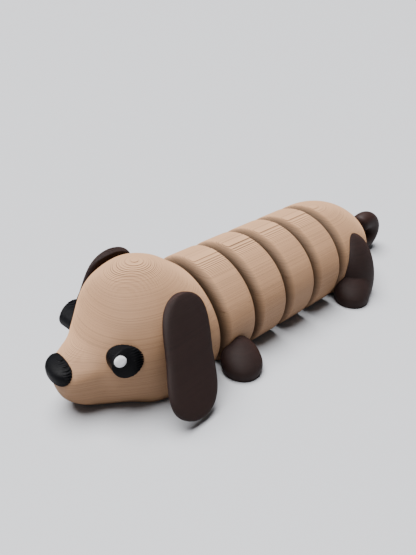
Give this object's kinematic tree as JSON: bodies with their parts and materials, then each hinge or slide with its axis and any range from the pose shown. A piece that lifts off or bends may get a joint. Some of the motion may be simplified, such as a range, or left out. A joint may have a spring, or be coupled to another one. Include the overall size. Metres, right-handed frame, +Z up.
{
  "type": "articulated toy dog",
  "caption": "Long-bodied toy dog in printed plastic: a head with drooping ears, short legs and a curled tail, and a ringed body that bends from side to side on hidden upright pins.",
  "frame": {"origin": "on the surface the dog stands on, under the middle of its whole length and width", "axes": "+Z up, -Y the way the nose points, +Y towards the tail, +X the dog's left side"},
  "size_m": [0.0668, 0.1726, 0.0432],
  "materials": {
    "tan": "matte printed plastic with fine layer lines",
    "brown": "matte printed plastic with fine layer lines",
    "black": "satin printed plastic",
    "white": "satin printed plastic"
  },
  "bodies": {
    "head": {"head": "tan", "nose": "black", "left_eye": "black", "right_eye": "black", "left_eye_spot": "white", "right_eye_spot": "white", "left_ear": "brown", "right_ear": "brown", "hinge_pin_1": "tan"},
    "segment_1": {"segment_1": "tan", "left_front_paw": "brown", "right_front_paw": "brown", "hinge_pin_2": "tan"},
    "segment_2": {"segment_2": "tan", "hinge_pin_3": "tan"},
    "segment_3": {"segment_3": "tan", "hinge_pin_4": "tan"},
    "segment_4": {"segment_4": "tan", "hinge_pin_5": "tan"},
    "rump": {"rump": "tan", "left_hind_leg": "brown", "right_hind_leg": "brown", "tail": "brown"}
  },
  "joints": [
    {"name": "neck_turn", "type": "hinge", "parent": "head", "child": "segment_1", "pos_m": [0, -0.04028, 0], "axis": [0, 0, 1], "range_deg": [-8, 8]},
    {"name": "bend_1", "type": "hinge", "parent": "segment_1", "child": "segment_2", "pos_m": [0, -0.02438, 0], "axis": [0, 0, 1], "range_deg": [-8, 8]},
    {"name": "bend_2", "type": "hinge", "parent": "segment_2", "child": "segment_3", "pos_m": [0, -0.00849, 0], "axis": [0, 0, 1], "range_deg": [-8, 8]},
    {"name": "bend_3", "type": "hinge", "parent": "segment_3", "child": "segment_4", "pos_m": [0, 0.00741, 0], "axis": [0, 0, 1], "range_deg": [-8, 8]},
    {"name": "rump_turn", "type": "hinge", "parent": "segment_4", "child": "rump", "pos_m": [0, 0.02331, 0], "axis": [0, 0, 1], "range_deg": [-8, 8]}
  ]
}
